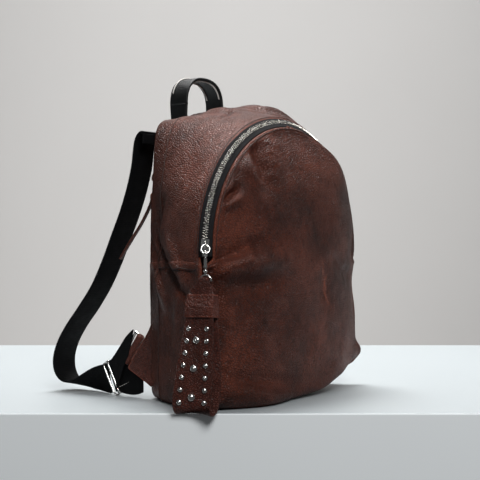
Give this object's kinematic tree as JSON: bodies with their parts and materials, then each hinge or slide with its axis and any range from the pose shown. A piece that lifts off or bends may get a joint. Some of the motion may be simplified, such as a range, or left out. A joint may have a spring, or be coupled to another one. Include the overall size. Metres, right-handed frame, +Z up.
{
  "type": "leather backpack",
  "caption": "Soft dome-topped leather backpack with an arched front zip, studded wrist-loop puller, top carry handle and adjustable shoulder straps.",
  "frame": {"origin": "middle of the base on the ground, between the front and back panels", "axes": "+Z up, -Y out of the front panel, +X to the right as seen from the front"},
  "size_m": [0.3369, 0.2987, 0.386],
  "materials": {
    "leather": "pebbled, satin",
    "black_leather": "smooth, satin",
    "webbing": "dense smooth weave",
    "nickel": "polished nickel",
    "zip_tape": "woven",
    "lining": "plain weave",
    "board": "matt"
  },
  "bodies": {
    "bag": {"front_lower": "leather", "gusset": "leather", "side_left": "leather", "side_right": "leather", "base_panel": "leather", "back_yoke": "leather", "back_lower": "leather", "base_board": "board", "front_lining": "lining", "gusset_lining": "lining", "back_lining": "lining", "inner_pocket": "lining", "back_pocket_bag": "lining", "zip_tape_outer": "zip_tape", "zip_teeth_outer": "nickel", "zip_tape_ends": "zip_tape", "zip_teeth_ends": "nickel", "zip_stops": "nickel", "handle_anchors": "black_leather", "strap_root_left": "webbing", "tab_left": "leather", "tab_roll_left": "leather", "strap_root_right": "webbing", "tab_right": "leather", "tab_roll_right": "leather", "back_zip_tape": "zip_tape", "back_zip_teeth": "nickel"},
    "flap": {"front_flap": "leather", "flap_lining": "lining", "zip_tape_flap": "zip_tape", "zip_teeth_flap": "nickel"},
    "slider": {"zip_slider": "nickel"},
    "slider_ring": {"slider_ring": "nickel"},
    "clasp": {"clasp_hook": "nickel"},
    "trigger": {"clasp_trigger": "nickel"},
    "swivel": {"swivel_stem": "nickel", "dee_ring": "nickel"},
    "fob": {"fob_tab": "leather", "fob_keeper": "leather", "fob_loop": "leather", "small_studs": "nickel", "large_studs": "nickel"},
    "handle": {"handle": "black_leather"},
    "strap_left": {"strap_left": "webbing", "strap_end_left": "webbing"},
    "glide_left": {"glide_left": "nickel"},
    "ring_left": {"ring_left": "nickel"},
    "strap_right": {"strap_right": "webbing", "strap_end_right": "webbing"},
    "glide_right": {"glide_right": "nickel"},
    "ring_right": {"ring_right": "nickel"},
    "back_slider": {"back_slider": "nickel"},
    "back_pull": {"back_pull": "leather"}
  },
  "joints": [
    {"name": "flap_fold", "type": "hinge", "parent": "bag", "child": "flap", "pos_m": [0, -0.101, 0.197], "axis": [1, 0, 0], "range_deg": [0, 60]},
    {"name": "zip_slide", "type": "hinge", "parent": "bag", "child": "slider", "pos_m": [0, -0.063, 0.173], "axis": [0, 1, 0], "range_deg": [0, 176]},
    {"name": "ring_swing", "type": "hinge", "parent": "slider", "child": "slider_ring", "pos_m": [-0.15337, -0.06646, 0.17824], "axis": [-0.7071, 0.7071, 0], "range_deg": [0, 60]},
    {"name": "clasp_swing", "type": "hinge", "parent": "slider_ring", "child": "clasp", "pos_m": [-0.15449, -0.06758, 0.17391], "axis": [-0.6645, -0.6645, 0.342], "range_deg": [-18, 2]},
    {"name": "trigger_press", "type": "hinge", "parent": "clasp", "child": "trigger", "pos_m": [-0.15755, -0.07064, 0.16623], "axis": [-0.7071, 0.7071, 0], "range_deg": [0, 16], "stiffness_Nm_per_rad": 0.001},
    {"name": "swivel_turn", "type": "hinge", "parent": "clasp", "child": "swivel", "pos_m": [-0.1556, -0.06869, 0.15439], "axis": [0, 0, 1], "range_deg": [-2, 35]},
    {"name": "fob_swing", "type": "hinge", "parent": "swivel", "child": "fob", "pos_m": [-0.1556, -0.06869, 0.13989], "axis": [-0.342, 0.9397, 0], "range_deg": [0, 60]},
    {"name": "handle_fold", "type": "hinge", "parent": "bag", "child": "handle", "pos_m": [0, 0.07, 0.35], "axis": [1, 0, 0], "range_deg": [-75, 0], "stiffness_Nm_per_rad": 0.05},
    {"name": "strap_swing_left", "type": "hinge", "parent": "bag", "child": "strap_left", "pos_m": [-0.106, 0.08, 0.055], "axis": [-0.0807, 0.0282, -0.9963], "range_deg": [-12, 12], "stiffness_Nm_per_rad": 0.05},
    {"name": "glide_slide_left", "type": "slide", "parent": "strap_left", "child": "glide_left", "axis": [0, 1, 0], "range_m": [0, 0.014]},
    {"name": "ring_tilt_left", "type": "hinge", "parent": "bag", "child": "ring_left", "pos_m": [-0.106, 0.079, 0.055], "axis": [0, -0.515, 0.8572], "range_deg": [-15, 15]},
    {"name": "strap_swing_right", "type": "hinge", "parent": "bag", "child": "strap_right", "pos_m": [0.106, 0.08, 0.055], "axis": [0.0807, 0.0282, -0.9963], "range_deg": [-12, 12], "stiffness_Nm_per_rad": 0.05},
    {"name": "glide_slide_right", "type": "slide", "parent": "strap_right", "child": "glide_right", "axis": [0, 1, 0], "range_m": [0, 0.014]},
    {"name": "ring_tilt_right", "type": "hinge", "parent": "bag", "child": "ring_right", "pos_m": [0.106, 0.079, 0.055], "axis": [0, -0.515, 0.8572], "range_deg": [-15, 15]},
    {"name": "back_zip_slide", "type": "slide", "parent": "bag", "child": "back_slider", "axis": [1, 0, 0], "range_m": [0, 0.16]},
    {"name": "pull_swing", "type": "hinge", "parent": "back_slider", "child": "back_pull", "pos_m": [-0.08, 0.0706, 0.243], "axis": [-1, 0, 0], "range_deg": [0, 16]}
  ]
}
